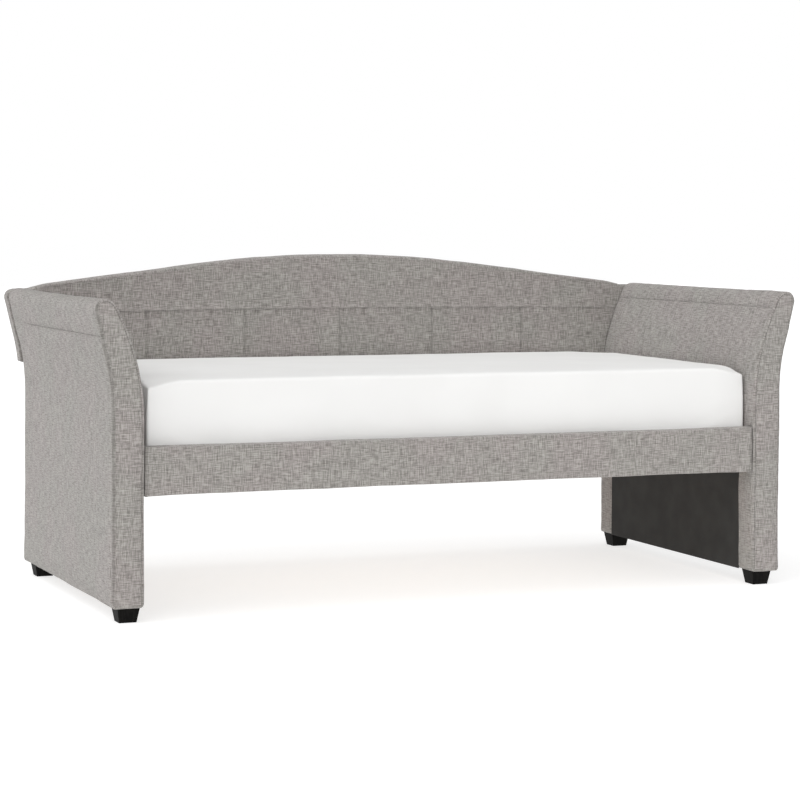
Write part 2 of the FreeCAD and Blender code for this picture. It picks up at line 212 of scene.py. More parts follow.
def outer_face(x_out, top, lowest):
    """The flared outer face, from the height `lowest` up to the middle of its corner."""
    begin = math.degrees(math.asin((lowest - OUTER_SWEEP_START) / SWEEP_RADIUS))
    sweep = arc((x_out + SWEEP_RADIUS, OUTER_SWEEP_START), SWEEP_RADIUS, 180 - begin, 180 - OUTER_LEAN)
    corner = lean_corner(sweep[-1], OUTER_LEAN, OUTER_CORNER, top, 1)
    return sweep, corner


def arm_sides(x_in, base, top, thickness):
    """The arm's profile as bottom, right, top and left sides, with x pointing out from the bed."""
    x_out = x_in + thickness
    low = (x_in + LOW_CORNER, base + LOW_CORNER)
    low_out = (x_out - LOW_CORNER, base + LOW_CORNER)
    sweep, corner = outer_face(x_out, top, OUTER_SWEEP_START)
    inner = arc((x_in + SWEEP_RADIUS, INNER_SWEEP_START), SWEEP_RADIUS, 180, 180 - INNER_LEAN)
    shoulder = lean_corner(inner[-1], INNER_LEAN, SHOULDER_RADIUS, top, -1)
    middle_out = (90 - OUTER_LEAN) / 2
    middle_in = 90 + (90 - INNER_LEAN) / 2
    bottom = path(arc(low, LOW_CORNER, 225, 270), arc(low_out, LOW_CORNER, 270, 315))
    right = path(arc(low_out, LOW_CORNER, 315, 360), sweep,
                 arc(corner, OUTER_CORNER, -OUTER_LEAN, middle_out))
    over = path(arc(corner, OUTER_CORNER, middle_out, 90), arc(shoulder, SHOULDER_RADIUS, 90, middle_in))
    left = path(arc(shoulder, SHOULDER_RADIUS, middle_in, 180 - INNER_LEAN), inner[::-1],
                arc(low, LOW_CORNER, 180, 225))
    return bottom, right, over, left


def crest_height(x, top, level):
    """Height of the back's crest at x: an arch, straight shoulders and level ends."""
    slope = math.radians(CREST_SLOPE)
    arch_x = CREST_RADIUS * math.sin(slope)
    across = np.abs(x)
    arch = top - CREST_RADIUS + np.sqrt(CREST_RADIUS ** 2 - np.minimum(across, arch_x) ** 2)
    shoulder = arch - np.maximum(across - arch_x, 0) * math.tan(slope)
    knee = top - CREST_RADIUS * (1 - math.cos(slope)) - (CREST_KNEE - arch_x) * math.tan(slope)
    steep = knee - (across - CREST_KNEE) * (knee - level) / (CREST_END - CREST_KNEE)
    return np.maximum(np.where(across > CREST_KNEE, steep, shoulder), level)


def inner_back_edge(x_out, top, base, inset):
    """The right edge of a panel that lies `inset` within the back's own edge."""
    centre = (x_out + SWEEP_RADIUS, OUTER_SWEEP_START)
    radius = SWEEP_RADIUS + inset
    begin = math.degrees(math.asin((EAR_BOTTOM + inset - OUTER_SWEEP_START) / radius))
    sweep = arc(centre, radius, 180 - begin, 180 - OUTER_LEAN)
    rise = top - inset - sweep[-1][1]
    tip = (sweep[-1][0] + rise * math.tan(math.radians(OUTER_LEAN)), top - inset)
    side = BACK_SIDE - inset
    return path((side, base + inset), (side, EAR_BOTTOM + inset), sweep, tip)


def back_edge(x_out, top, base):
    """The right edge of the back panel, from its lower corner up to its ear's upper corner."""
    sweep, corner = outer_face(x_out, top, EAR_BOTTOM + EAR_CORNER)
    low = (sweep[0][0] - EAR_CORNER, EAR_BOTTOM + EAR_CORNER)
    return path((BACK_SIDE, base), (BACK_SIDE, EAR_BOTTOM), arc(low, EAR_CORNER, 270, 360), sweep,
                arc(corner, OUTER_CORNER, -OUTER_LEAN, 90))


# ---------------------------------------------------------------- upholstered blocks

class Block:
    """A padded slab: a closed outline of four sides, run through a depth, with round edges and gridded faces.
    end_rings are more rings on both faces, each so far within the outline."""

    def __init__(self, sides, depths, place, edge, fill=None, end_rings=(), steps=5, tight=FAR):
        bottom, right, over, left = sides
        self.tight = tight
        self.across = len(bottom)
        self.up = len(right)
        loop = np.concatenate([bottom[:-1], right[:-1], over[:-1], left[:-1]])
        self.loop = loop
        self.round = outward(loop)
        self.count = len(loop)
        self.fill = fill or self.even_fill
        turn = np.radians(np.linspace(0, 90, steps + 1))
        rings = [(inset, depths[0]) for inset in end_rings]
        rings += [(edge * (1 - math.sin(t)), depths[0] + edge * (1 - math.cos(t))) for t in turn]
        rings += [(0.0, y) for y in depths if depths[0] + edge + MM < y < depths[-1] - edge - MM]
        rings += [(edge * (1 - math.cos(t)), depths[-1] - edge * (1 - math.sin(t))) for t in turn]
        rings += [(inset, depths[-1]) for inset in reversed(end_rings)]
        self.rings = rings
        flat = [np.column_stack([self.inset(inset), np.full(self.count, y)]) for inset, y in rings]
        front = self.inner_grid(flat[0][:, :2], depths[0])
        rear = self.inner_grid(flat[-1][:, :2], depths[-1])
        self.front_start = len(rings) * self.count
        self.rear_start = self.front_start + len(front)
        local = np.concatenate(flat + [front, rear])
        self.local = local
        self.points = place(local)
        self.lengths = np.concatenate([length_along(loop), [0]])[:self.count + 1]
        self.lengths[-1] = self.lengths[-2] + np.linalg.norm(loop[0] - loop[-1])
        self.faces, self.maps = [], []
        self.weave_rings()
        self.weave_face(0, self.front_start, flip=False)
        self.weave_face((len(rings) - 1) * self.count, self.rear_start, flip=True)

    def inset(self, amount):
        """The outline drawn in. Beyond `tight`, where its corners would cross, it shrinks evenly."""
        near = min(amount, self.tight)
        drawn = self.loop - self.round * near
        middle = (drawn.min(0) + drawn.max(0)) / 2
        return middle + (drawn - middle) * (1 - (amount - near) * 2 / np.ptp(drawn, axis=0))

    def ring(self, number):
        return self.points[number * self.count:(number + 1) * self.count]

    def run(self, k):
        """The line through the depth at place k of the outline, without the ends' rounding."""
        level = [r for r, (inset, _) in enumerate(self.rings) if inset < 0.1 * MM]
        return self.points[[r * self.count + k for r in level]]

    def turn_over(self):
        """Turns the faces round, for a block that its placing has mirrored."""
        self.faces = [face[::-1] for face in self.faces]
        self.maps = [spots[::-1] for spots in self.maps]

    def side_indices(self):
        a, u = self.across - 1, self.up - 1
        n = self.count
        bottom = list(range(0, a + 1))
        right = list(range(a, a + u + 1))
        over = list(range(a + u, 2 * a + u + 1))[::-1]
        left = [k % n for k in range(2 * a + u, 2 * a + 2 * u + 1)][::-1]
        return bottom, right, over, left

    def even_fill(self, bottom, right, over, left):
        """Points of a face between its four edges."""
        s = np.linspace(0, 1, self.across)[None, :, None]
        t = np.linspace(0, 1, self.up)[:, None, None]
        grid = (1 - t) * bottom[None] + t * over[None] + (1 - s) * left[:, None] + s * right[:, None]
        corners = (1 - t) * ((1 - s) * bottom[0] + s * bottom[-1]) + t * ((1 - s) * over[0] + s * over[-1])
        return grid - corners

    def inner_grid(self, edge, depth):
        bottom, right, over, left = (edge[k] for k in self.side_indices())
        grid = self.fill(bottom, right, over, left)[1:-1, 1:-1].reshape(-1, 2)
        return np.column_stack([grid, np.full(len(grid), depth)])

    def weave_rings(self):
        n = self.count
        for ring in range(len(self.rings) - 1):
            y0, y1 = self.rings[ring][1], self.rings[ring + 1][1]
            v0, v1 = y0 - self.rings[ring][0], y1 - self.rings[ring + 1][0]
            if ring + 1 >= len(self.rings) / 2:
                v0, v1 = y0 + self.rings[ring][0], y1 + self.rings[ring + 1][0]
            for k in range(n):
                j = (k + 1) % n
                a, b = ring * n + k, ring * n + j
                self.faces.append((a, b, b + n, a + n))
                u0, u1 = self.lengths[k], self.lengths[k + 1]
                self.maps.append(((u0, v0), (u1, v0), (u1, v1), (u0, v1)))

    def face_index(self, ring_start, grid_start):
        """Vertex numbers of a face's grid, edges included."""
        number = np.empty((self.up, self.across), int)
        inner = np.arange((self.up - 2) * (self.across - 2)) + grid_start
        number[1:-1, 1:-1] = inner.reshape(self.up - 2, self.across - 2)
        bottom, right, over, left = self.side_indices()
        number[0, :] = bottom
        number[-1, :] = over
        number[:, -1] = right
        number[:, 0] = left
        number[0, :] += ring_start
        number[-1, :] += ring_start
        number[1:-1, -1] += ring_start
        number[1:-1, 0] += ring_start
        return number

    def weave_face(self, ring_start, grid_start, flip):
        number = self.face_index(ring_start, grid_start)
        for j in range(self.up - 1):
            for i in range(self.across - 1):
                quad = (number[j, i], number[j + 1, i], number[j + 1, i + 1], number[j, i + 1])
                if flip:
                    quad = quad[::-1]
                self.faces.append(tuple(int(v) for v in quad))
                self.maps.append(tuple(tuple(self.local[v, :2]) for v in quad))


def surface_normals(points, faces):
    normals = np.zeros_like(points)
    quads = np.array(faces)
    across = points[quads[:, 2]] - points[quads[:, 0]]
    along = points[quads[:, 3]] - points[quads[:, 1]]
    face = np.cross(across, along)
    for corner in range(4):
        np.add.at(normals, quads[:, corner], face)
    return normals / np.maximum(np.linalg.norm(normals, axis=1, keepdims=True), 1e-12)


def unevenness(points, size, seed):
    """Smooth hand-made irregularity from -1 to 1, with waves about `size` long."""
    draw = np.random.default_rng(seed)
    total = np.zeros(len(points))
    for _ in range(14):
        direction = draw.normal(size=3)
        direction /= np.linalg.norm(direction)
        wave = 2 * math.pi / (size * draw.uniform(0.7, 1.6))
        total += np.sin(points @ direction * wave + draw.uniform(0, 2 * math.pi))
    return total / 5


def from_seams(points, seams):
    """Distance of each point to the nearest sewn line."""
    dots = []
    for seam in seams:
        dots.append(at_lengths(seam, np.arange(0, length_along(seam)[-1], THREAD)))
    dots = np.concatenate(dots)
    tree = KDTree(len(dots))
    for number, dot in enumerate(dots):
        tree.insert(dot, number)
    tree.balance()
    return np.array([tree.find(p)[2] for p in points])


def make_piece(name, block, points, material, seam=None, fold=None):
    mesh = bpy.data.meshes.new(name)
    mesh.from_pydata(points.tolist(), [], block.faces)
    layer = mesh.uv_layers.new(name="weave")
    flat = np.array(block.maps, np.float32).ravel()
    layer.uv.foreach_set("vector", flat)
    # distances from seams and folds: the linen draws seam lines from them and paints shade near seams and
    # along folds
    for mark, distance in (("seam", seam), ("fold", fold)):
        if distance is None:
            distance = np.full(len(points), FAR)
        layer = mesh.attributes.new(mark, "FLOAT", "POINT")
        layer.data.foreach_set("value", np.minimum(distance, FAR).astype(np.float32))
    mesh.polygons.foreach_set("use_smooth", [True] * len(mesh.polygons))
    mesh.materials.append(material)
    mesh.update()
    piece = bpy.data.objects.new(name, mesh)
    bpy.context.scene.collection.objects.link(piece)
    return piece


def puff(piece, held, cover, frames=14, stiff=20.0):
    """Blows a cover up over its foam with its seams and edges held. No point moves more than its travel."""
    scene = bpy.context.scene
    group = piece.vertex_groups.new(name="held")
    group.add([int(v) for v in held], 1.0, "REPLACE")
    cloth = piece.modifiers.new("puff", "CLOTH")
    settings = cloth.settings
    settings.quality = 4
    settings.mass = 0.3
    settings.tension_stiffness = stiff
    settings.compression_stiffness = stiff
    settings.shear_stiffness = stiff / 2
    settings.bending_stiffness = 2.0
    settings.air_damping = 2.0
    settings.use_pressure = True
    settings.uniform_pressure_force = cover.pressure
    settings.vertex_group_mass = "held"
    settings.pin_stiffness = 5.0
    settings.effector_weights.gravity = 0.0
    cloth.collision_settings.use_collision = False
    cloth.point_cache.frame_start = 1
    cloth.point_cache.frame_end = frames
    for number in range(1, frames + 1):
        scene.frame_set(number)
    blown = piece.evaluated_get(bpy.context.evaluated_depsgraph_get()).to_mesh()
    after = np.empty(len(blown.vertices) * 3)
    blown.vertices.foreach_get("co", after)
    before = np.empty_like(after)
    piece.data.vertices.foreach_get("co", before)
    move = (after - before).reshape(-1, 3)
    reach = np.linalg.norm(move, axis=1, keepdims=True)
    move *= np.tanh(reach / cover.travel) * cover.travel / np.maximum(reach, 1e-9)
    piece.modifiers.remove(cloth)
    piece.vertex_groups.remove(group)
    piece.data.vertices.foreach_set("co", (before.reshape(-1, 3) + move).ravel())
    piece.data.update()
    scene.frame_set(1)


def sew(block, seams, depth, width=2.2 * MM, pucker=0.4 * MM, seed=1, folds=()):
    """Draws the cover in along its seams and folds.
    Returns the new points, and how far each is from a seam and from a fold."""
    seam = from_seams(block.points, seams)
    fold = from_seams(block.points, folds) if folds else np.full(len(seam), FAR)
    normals = surface_normals(block.points, block.faces)
    groove = depth * np.exp(-(seam / width) ** 2) + FOLD_DEPTH * np.exp(-(fold / FOLD_WIDTH) ** 2)
    near = np.minimum(seam, fold)
    gather = pucker * unevenness(block.points, GATHER_WAVE, seed) * np.exp(-near / GATHER_REACH)
    points = block.points + normals * (gather - groove)[:, None]
    return points, seam, fold


def roughen(piece, cover, seed):
    """Adds slow unevenness, and a little of a quicker one, along the surface's normals."""
    mesh = piece.data
    points = np.empty(len(mesh.vertices) * 3)
    mesh.vertices.foreach_get("co", points)
    points = points.reshape(-1, 3)
    faces = [tuple(p.vertices) for p in mesh.polygons]
    slow = cover.wear * unevenness(points, cover.wave, seed)
    quick = cover.wear * 0.45 * unevenness(points, cover.wave / 3.5, seed + 100)
    points += surface_normals(points, faces) * (slow + quick)[:, None]
    mesh.vertices.foreach_set("co", points.ravel())
    mesh.update()


# ---------------------------------------------------------------- finishes

class Value:
    """A shader socket that does arithmetic."""

    def __init__(self, finish, socket):
        self.finish, self.socket = finish, socket

    def __add__(self, other):
        return self.finish.math("ADD", self, other)

    def __sub__(self, other):
        return self.finish.math("SUBTRACT", self, other)

    def __rsub__(self, other):
        return self.finish.math("SUBTRACT", other, self)

    def __mul__(self, other):
        return self.finish.math("MULTIPLY", self, other)

    __radd__ = __add__
    __rmul__ = __mul__


class Finish:
    """A material and the short ways to build its nodes."""

    def __init__(self, name, colour, roughness, **constants):
        self.material = bpy.data.materials.new(name)
        self.material.use_nodes = True
        self.tree = self.material.node_tree
        self.shader = next(n for n in self.tree.nodes if n.type == "BSDF_PRINCIPLED")
        self.shader.inputs["Base Color"].default_value = (*colour, 1.0)
        self.shader.inputs["Roughness"].default_value = roughness
        for socket, value in constants.items():
            self.shader.inputs[socket.replace("_", " ")].default_value = value

    def node(self, kind, output, settings, sockets):
        """Any node: its type, the output wanted, its settings, and its sockets' values or links."""
        made = self.tree.nodes.new("ShaderNode" + kind)
        for key, value in settings.items():
            setattr(made, key, value)
        for key, value in sockets.items():
            self.set(made.inputs[key], value)
        return Value(self, made.outputs[output])

    def set(self, socket, value):
        if isinstance(value, Value):
            self.tree.links.new(value.socket, socket)
        else:
            socket.default_value = value

    def math(self, operation, *values):
        return self.node("Math", 0, {"operation": operation}, dict(enumerate(values)))

    def blend(self, factor, a, b, how="MIX"):
        """Mixes two colours, each a link or three numbers."""
        a, b = (colour if isinstance(colour, Value) else (*colour, 1.0) for colour in (a, b))
        return self.node("Mix", 2, {"data_type": "RGBA", "blend_type": how}, {0: factor, 6: a, 7: b})

    def steps(self, value, low, high):
        """0 below low and 1 above high, smooth between."""
        return self.node("MapRange", "Result", {"interpolation_type": "SMOOTHSTEP"},
                         {"Value": value, "From Min": low, "From Max": high})

    def weave_place(self):
        """Place on the cloth in metres, along and across."""
        return self.node("UVMap", "UV", {"uv_map": "weave"}, {})

    def place(self):
        """Place in the piece's own space, in metres."""
        return self.node("TexCoord", "Object", {}, {})

    def mark(self, name):
        """A distance that the mesh carries, from a seam or a fold."""
        return self.node("Attribute", "Fac", {"attribute_name": name}, {})

    def scaled(self, vector, *scale):
        return self.node("VectorMath", 0, {"operation": "MULTIPLY"}, {0: vector, 1: scale})

    def part(self, vector, axis):
        """One number of a vector."""
        return self.node("SeparateXYZ", axis, {}, {0: vector})

    def noise(self, vector, detail=2.0, roughness=0.5, flat=True):
        return self.node("TexNoise", "Fac", {"noise_dimensions": "2D" if flat else "3D"},
                         {"Vector": vector, "Scale": 1.0, "Detail": detail, "Roughness": roughness})

    def ribs(self, vector, axis, pitch):
        """Even waves from -1 to 1 along an axis."""
        return self.math("SINE", self.part(vector, axis) * (2 * math.pi / pitch))

    def colour(self, value):
        self.set(self.shader.inputs["Base Color"], value)

    def rough(self, value):
        self.set(self.shader.inputs["Roughness"], value)

    def bump(self, height, distance, strength):
        sockets = {"Height": height, "Distance": distance, "Strength": strength}
        self.set(self.shader.inputs["Normal"], self.node("Bump", "Normal", {}, sockets))


def linen(name):
    """Heathered plain weave: pale and dark yarns with slubs both ways, darkened near its seams and folds as
    painted shade.
    """
    finish = Finish(name, (0.30, 0.285, 0.27), 0.92, Sheen_Weight=0.2, Sheen_Roughness=0.6,
               Specular_IOR_Level=0.25)
    cloth = finish.weave_place()
    fine_up = finish.noise(finish.scaled(cloth, 430, 34, 1), 2.0, 0.6)
    fine_across = finish.noise(finish.scaled(cloth, 30, 450, 1), 2.0, 0.6)
    slub_up = finish.noise(finish.scaled(cloth, 230, 20, 1), 1.0)
    slub_across = finish.noise(finish.scaled(cloth, 18, 240, 1), 1.0)
    yarn = finish.noise(finish.scaled(cloth, 1000, 1000, 1), 1.0)
    cloud = finish.noise(finish.scaled(cloth, 5, 5, 1), 2.0)
    haze = finish.noise(finish.scaled(cloth, 13, 13, 1), 3.0)
    heather = fine_up * 1.05 + fine_across * 1.05 + slub_up * 0.22 + slub_across * 0.25 + yarn * 0.45 - 1.51
    shade = finish.steps(heather + 0.5, 0.12, 0.88)
    body = finish.blend(shade, (0.172, 0.158, 0.147), (0.440, 0.415, 0.395))
    tint = finish.blend(finish.steps(cloud, 0.35, 0.65), (0.985, 1.0, 0.985), (1.01, 0.99, 0.995))
    tone = finish.blend(finish.steps(haze, 0.3, 0.7), (0.98, 0.98, 0.98), (1.02, 1.02, 1.02))
    body = finish.blend(1.0, finish.blend(1.0, body, tint, "MULTIPLY"), tone, "MULTIPLY")
    seam = finish.mark("seam")
    fold = finish.mark("fold")
    line = 1 - finish.steps(seam, 0.3 * MM, 1.7 * MM)
    # painted shade: a little darker within 8 mm of each seam, for the shade in its crease
    painted_crease_shade = 1 - finish.steps(seam, 0.0, 8 * MM)
    # painted shade: darker within 11 mm of each fold line, for the shade in the fold
    painted_fold_shade = 1 - finish.steps(fold, 0.0, 11 * MM)
    # the seam's own dark line, plus the painted shade of creases and folds
    dark = line * 0.55 + painted_crease_shade * 0.07 + painted_fold_shade * 0.36
    finish.colour(finish.blend(dark, body, (0.06, 0.054, 0.048)))
    over = finish.ribs(cloth, 0, 1.3 * MM)
    under = finish.ribs(cloth, 1, 1.3 * MM)
    height = fine_up * 0.6 + fine_across * 0.6 + slub_up * 0.5 + slub_across * 0.5 + over * under * 0.25
    finish.bump(height, 0.8 * MM, 0.7)
    finish.rough(0.86 + shade * 0.1)
    return finish.material


def knit():
    """White stretch knit over foam."""
    finish = Finish("white_knit", (0.80, 0.80, 0.79), 0.85, Sheen_Weight=0.15, Specular_IOR_Level=0.3)
    cloth = finish.weave_place()
    loops = finish.ribs(cloth, 0, 2.2 * MM)
    courses = finish.ribs(cloth, 1, 1.6 * MM)
    fuzz = finish.noise(finish.scaled(cloth, 700, 700, 1), 2.0)
    soil = finish.noise(finish.scaled(cloth, 4, 4, 1), 2.0)
    seam = finish.mark("seam")
    line = 1 - finish.steps(seam, 0.3 * MM, 1.6 * MM)
    body = finish.blend(finish.steps(soil, 0.3, 0.7), (0.825, 0.822, 0.812), (0.85, 0.848, 0.838))
    body = finish.blend(finish.steps(fuzz, 0.25, 0.75) * 0.25, body, (0.76, 0.757, 0.747))
    finish.colour(finish.blend(line * 0.35, body, (0.45, 0.45, 0.44)))
    finish.bump(loops * courses * 0.3 + fuzz * 0.7, 0.35 * MM, 0.5)
    finish.rough(0.82 + fuzz * 0.1)
    return finish.material


def nonwoven():
    """Black spun-bonded dust cloth with its pressed dots."""
    finish = Finish("black_nonwoven", (0.03, 0.03, 0.028), 0.8, Specular_IOR_Level=0.3)
    cloth = finish.weave_place()
    dots = finish.node("TexVoronoi", "Distance", {"voronoi_dimensions": "2D"},
                  {"Vector": finish.scaled(cloth, 560, 420, 1), "Scale": 1.0, "Randomness": 0.25})
    fibre = finish.noise(finish.scaled(cloth, 300, 300, 1), 4.0, 0.7)
    cloud = finish.noise(finish.scaled(cloth, 14, 14, 1), 3.0)
    shade = finish.steps(fibre * 0.5 + cloud * 0.5, 0.32, 0.68)
    finish.colour(finish.blend(shade, (0.027, 0.0262, 0.025), (0.038, 0.037, 0.0355)))
    finish.bump(finish.steps(dots, 0.1, 0.45) * 0.6 + fibre * 0.5, 0.3 * MM, 0.6)
    finish.rough(0.74 + fibre * 0.12)
    return finish.material


def wood(name, dark, light, grain, roughness, gloss=0.4):
    """Planed wood. grain is the axis that its fibres follow."""
    finish = Finish(name, light, roughness, Specular_IOR_Level=gloss)
    stretch = [38.0, 38.0, 38.0]
    stretch[grain] = 2.2
    spot = finish.scaled(finish.place(), *stretch)
    rings = finish.noise(spot, 4.0, 0.6, flat=False)
    pores = [900.0, 900.0, 900.0]
    pores[grain] = 26.0
    fibre = finish.noise(finish.scaled(finish.place(), *pores), 2.0, 0.5, flat=False)
    bands = finish.math("SINE", rings * 46.0) * 0.5 + 0.5
    shade = finish.steps(bands * 0.6 + fibre * 0.5, 0.2, 0.9)
    finish.colour(finish.blend(shade, dark, light))
    finish.bump(fibre * 0.8 + bands * 0.2, 0.25 * MM, 0.5)
    finish.rough(roughness + fibre * 0.12)
    return finish.material


def metal(name, colour, roughness, metallic):
    finish = Finish(name, colour, roughness, Metallic=metallic)
    grain = finish.noise(finish.scaled(finish.place(), 420, 420, 420), 3.0, 0.6, flat=False)
    wear = finish.noise(finish.scaled(finish.place(), 60, 60, 60), 2.0, 0.5, flat=False)
    darker = tuple(c * 0.8 for c in colour)
    finish.colour(finish.blend(finish.steps(wear, 0.35, 0.65), darker, colour))
    finish.rough(roughness - 0.08 + grain * 0.16)
    finish.bump(grain, 0.15 * MM, 0.4)
    return finish.material


def webbing():
    finish = Finish("strap_webbing", (0.74, 0.73, 0.70), 0.8)
    spot = finish.place()
    ribs = finish.ribs(spot, 0, 2.0 * MM)
    lanes = finish.ribs(spot, 1, 1.6 * MM)
    weave = finish.steps(ribs * lanes, -0.6, 0.6)
    finish.colour(finish.blend(weave, (0.58, 0.57, 0.54), (0.80, 0.79, 0.76)))
    finish.bump(weave, 0.4 * MM, 0.6)
    return finish.material


# ---------------------------------------------------------------- pieces

def arm(side, cloth):
    """One arm: wrap, front and rear panels, level seams, all over its foam and frame."""
    name = "left" if side < 0 else "right"
    low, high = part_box(name + "_arm_cover")
    x_in = min(abs(low.x), abs(high.x))
    bottom, right, over, left = arm_sides(x_in, low.z, high.z, ARM_THICKNESS + ARM_SWELL[side])
    rows, across, along = 98, 15, 108
    bottom = evenly(bottom, across)
    right = evenly(right, rows, [reaches(right, OUTER_SEAM)])
    over = evenly(over, across)
    left = evenly(left, rows, [length_along(left)[-1] - reaches(left[::-1], INNER_SEAM)])

    def place(p):
        return np.column_stack([p[:, 0] * side, p[:, 2], p[:, 1]])

    depths = np.linspace(low.y, high.y, along)
    block = Block((bottom, right, over, left), depths, place, 6 * MM, end_rings=PANEL_RINGS)
    if side > 0:
        block.turn_over()
    corner = across - 1 + len(right) - 1
    outer_line = block.run(across - 1 + nearest(right[:, 1], OUTER_SEAM))
    inner_line = block.run(corner + across - 1 + nearest(left[:, 1], INNER_SEAM))
    seams = [outer_line[outer_line[:, 1] < OUTER_SEAM_END], inner_line]
    # fold lines along the outer edge of both end panels and where the inner face meets the back: drawn in,
    # and painted with shade in the linen
    folds = []
    edge_ring = len(PANEL_RINGS) + 2
    last = len(block.rings) - 1
    for ring, (inset, _) in enumerate(block.rings):
        around = block.ring(ring)
        if abs(inset - SEAM_INSET) < 0.1 * MM:
            seams.append(np.concatenate([around[corner + 4:], around[:1]]))
        if ring in (edge_ring, last - edge_ring):
            folds.append(around[across:corner + 2])
        if ring == last - edge_ring - 1:
            folds.append(around[corner + across:])
    points, seam, fold = sew(block, seams, ARM_COVER.seam_depth, seed=3 + side, folds=folds)
    y, z = points[:, 1], points[:, 2]
    inner = np.abs(points[:, 0]) < x_in + INNER_SKIN
    # the lower inner face is set back where the dust cover lies on it
    dust_low, dust_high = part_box(name + "_arm_dust_cover")
    behind_dust = inner & (z < dust_high.z) & (y > dust_low.y + DUST_RIM) & (y < dust_high.y - DUST_RIM)
    points[behind_dust, 0] += side * DUST_SETBACK
    crown = np.clip((z - SHOULDER_START) / (high.z - SHOULDER_START), 0, 1) ** 2
    middle = 1 - ((y - low.y) / (high.y - low.y) * 2 - 1) ** 4
    z += crown * (0.7 + 0.3 * middle) * ARM_CROWN[side]
    piece = make_piece(name + "_arm_upholstery", block, points, cloth, seam, fold)
    # the rail, the mattress and the back hold the cover flat
    rail_low, rail_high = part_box("front_rail_cover")
    rail_height = np.abs(z - (rail_low.z + rail_high.z) / 2)
    at_rail = inner & (y < rail_high.y + INNER_SKIN) & (rail_height < RAIL_REACH)
    bed_low, bed_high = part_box("mattress_cover")
    at_bed = inner & (z > bed_low.z) & (z < bed_high.z) & (y > bed_low.y)
    at_edge = (z < low.z + EDGE_HOLD) | (y > high.y - EDGE_HOLD)
    held = (seam < SEAM_HOLD) | at_edge | behind_dust | at_rail | at_bed
    puff(piece, np.flatnonzero(held), ARM_COVER)
    roughen(piece, ARM_COVER, 11 + side)
    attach(piece, "daybed")
    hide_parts(name + "_arm_cover", name + "_arm_padding")


def hemmed(length, count):
    """Places across a hemmed cloth: close ones in each hem and even ones between."""
    between = np.linspace(2 * DUST_HEM, length - 2 * DUST_HEM, count)
    return np.concatenate([[0, DUST_HEM], between, [length - DUST_HEM, length]])


def dust_cover(side, material):
    """Black cloth stretched over the open inner side of an arm."""
    name = "left" if side < 0 else "right"
    low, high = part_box(name + "_arm_dust_cover")
    surface = min(abs(low.x), abs(high.x)) - DUST_STAND_OFF
    y0, y1, z0, z1 = low.y, high.y, low.z - DUST_DROP, high.z
    width, height = y1 - y0, z1 - z0
    ys, zs = hemmed(width, 60), hemmed(height, 26)
    bottom = np.column_stack([y0 + ys, np.full(len(ys), z0)])
    right = np.column_stack([np.full(len(zs), y1), z0 + zs])
    over = bottom[::-1] + (0, height)
    left = right[::-1] - (width, 0)

    def fill(bottom, right, over, left):
        grid = np.empty((len(zs), len(ys), 2))
        grid[:, :, 0] = bottom[None, :, 0]
        grid[:, :, 1] = left[:, None, 1]
        return grid

    def place(p):
        return np.column_stack([side * (surface + p[:, 2]), p[:, 0], p[:, 1]])

    depths = np.array([0.0, DUST_THICKNESS])
    block = Block((bottom, right, over, left), depths, place, 0.5 * MM, fill, steps=2)
    if side < 0:
        block.turn_over()
    points = block.points
    rim = np.minimum(np.minimum(points[:, 1] - y0, y1 - points[:, 1]),
                     np.minimum(points[:, 2] - z0, z1 - points[:, 2]))
    slack = np.clip(rim / DUST_SLACK_START, 0, 1)
    slack = slack * slack * (3 - 2 * slack)
    drag = unevenness(points * (1, 1, 0.35), 0.16, 21 + side) * DUST_SLACK
    points[:, 0] += side * slack * (drag + DUST_SLACK)
    hem = np.exp(-((rim - 1.5 * DUST_HEM) / (DUST_HEM / 2)) ** 2) * 0.35 * MM
    points[:, 0] += side * hem
    piece = make_piece(name + "_arm_dust_cloth", block, points, material)
    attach(piece, "daybed")
    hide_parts(name + "_arm_dust_cover")


